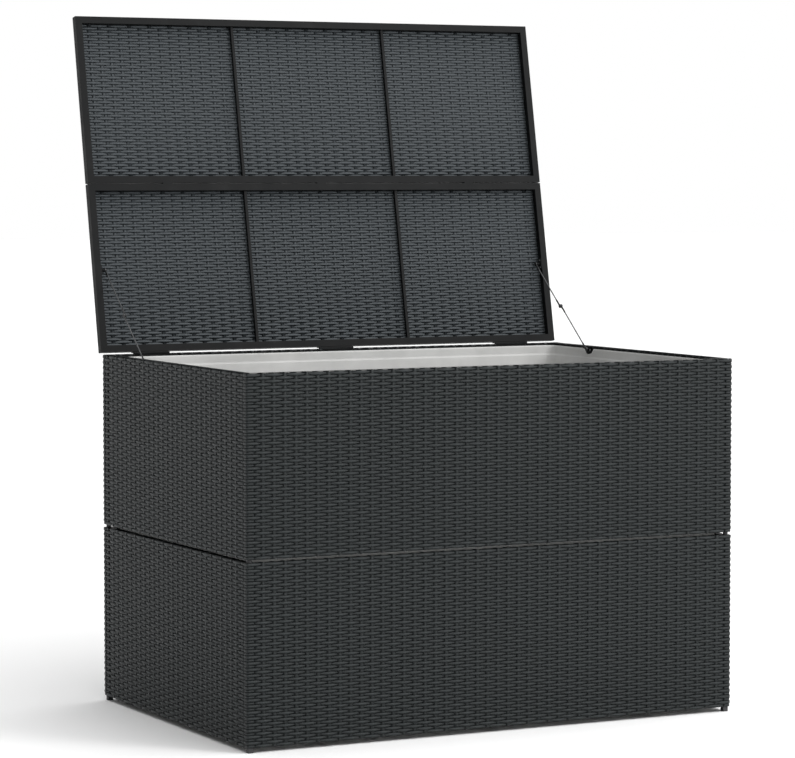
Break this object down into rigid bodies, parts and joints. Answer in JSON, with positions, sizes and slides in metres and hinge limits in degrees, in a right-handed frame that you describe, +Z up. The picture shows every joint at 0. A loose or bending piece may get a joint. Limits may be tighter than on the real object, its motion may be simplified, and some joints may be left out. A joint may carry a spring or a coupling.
{
  "type": "deck storage box",
  "caption": "Large woven garden storage box: tube frames with woven skins, a fabric liner and a hinged lid held open by folding stays.",
  "frame": {"origin": "bottom centre of the box that encloses the part with its lid open, on the ground", "axes": "+X to the right as seen from the front, +Y to the back where the lid is hinged, +Z up"},
  "size_m": [1.5, 1.215, 1.9747],
  "materials": {
    "frame": "satin powder coat",
    "weave": "brushed flat strand",
    "liner": "plain woven",
    "steel": "zinc plated",
    "bracket": "satin",
    "plastic": "moulded"
  },
  "bodies": {
    "box": {"lower_front_frame": "frame", "lower_back_frame": "frame", "lower_left_frame": "frame", "lower_right_frame": "frame", "upper_front_frame": "frame", "upper_back_frame": "frame", "upper_left_frame": "frame", "upper_right_frame": "frame", "lower_front_weave": "weave", "lower_back_weave": "weave", "lower_left_weave": "weave", "lower_right_weave": "weave", "upper_front_weave": "weave", "upper_back_weave": "weave", "upper_left_weave": "weave", "upper_right_weave": "weave", "floor_bar_left": "frame", "floor_bar_middle": "frame", "floor_bar_right": "frame", "liner_floor": "liner", "liner_front": "liner", "liner_back": "liner", "liner_left": "liner", "liner_right": "liner", "front_left_foot": "plastic", "front_right_foot": "plastic", "back_left_foot": "plastic", "back_right_foot": "plastic", "front_left_dowel": "plastic", "front_right_dowel": "plastic", "back_left_dowel": "plastic", "back_right_dowel": "plastic", "lower_front_left_bolt": "steel", "lower_front_right_bolt": "steel", "lower_back_left_bolt": "steel", "lower_back_right_bolt": "steel", "upper_front_left_bolt": "steel", "upper_front_right_bolt": "steel", "upper_back_left_bolt": "steel", "upper_back_right_bolt": "steel", "left_hinge_box_leaf": "steel", "middle_hinge_box_leaf": "steel", "right_hinge_box_leaf": "steel", "left_hinge_pin": "steel", "middle_hinge_pin": "steel", "right_hinge_pin": "steel", "left_stay_box_bracket": "bracket", "right_stay_box_bracket": "bracket"},
    "lid": {"lid_frame": "frame", "lid_rear_weave": "weave", "lid_front_weave": "weave", "left_hinge_lid_leaf": "steel", "middle_hinge_lid_leaf": "steel", "right_hinge_lid_leaf": "steel", "left_stay_lid_bracket": "bracket", "right_stay_lid_bracket": "bracket"},
    "left_stay_lower": {"left_stay_lower": "steel"},
    "left_stay_upper": {"left_stay_upper": "steel"},
    "right_stay_lower": {"right_stay_lower": "steel"},
    "right_stay_upper": {"right_stay_upper": "steel"}
  },
  "joints": [
    {"name": "lid_hinge", "type": "hinge", "parent": "box", "child": "lid", "pos_m": [0, 0.39602, 1.0005], "axis": [1, 0, 0], "range_deg": [0, 101]},
    {"name": "left_stay_lower_pivot", "type": "hinge", "parent": "box", "child": "left_stay_lower", "pos_m": [-0.7186, 0.15102, 0.9895], "axis": [1, 0, 0], "range_deg": [-36.33, 0]},
    {"name": "left_stay_upper_pivot", "type": "hinge", "parent": "lid", "child": "left_stay_upper", "pos_m": [-0.714, 0.45356, 1.2389], "axis": [1, 0, 0], "range_deg": [0, 36.33]},
    {"name": "right_stay_lower_pivot", "type": "hinge", "parent": "box", "child": "right_stay_lower", "pos_m": [0.7186, 0.15102, 0.9895], "axis": [1, 0, 0], "range_deg": [-36.33, 0]},
    {"name": "right_stay_upper_pivot", "type": "hinge", "parent": "lid", "child": "right_stay_upper", "pos_m": [0.714, 0.45356, 1.2389], "axis": [1, 0, 0], "range_deg": [0, 36.33]}
  ],
  "couplings": [
    {"joint": "left_stay_lower_pivot", "follows": "lid_hinge", "ratio": -0.35924},
    {"joint": "left_stay_upper_pivot", "follows": "lid_hinge", "ratio": 0.35924},
    {"joint": "right_stay_lower_pivot", "follows": "lid_hinge", "ratio": -0.35924},
    {"joint": "right_stay_upper_pivot", "follows": "lid_hinge", "ratio": 0.35924}
  ]
}
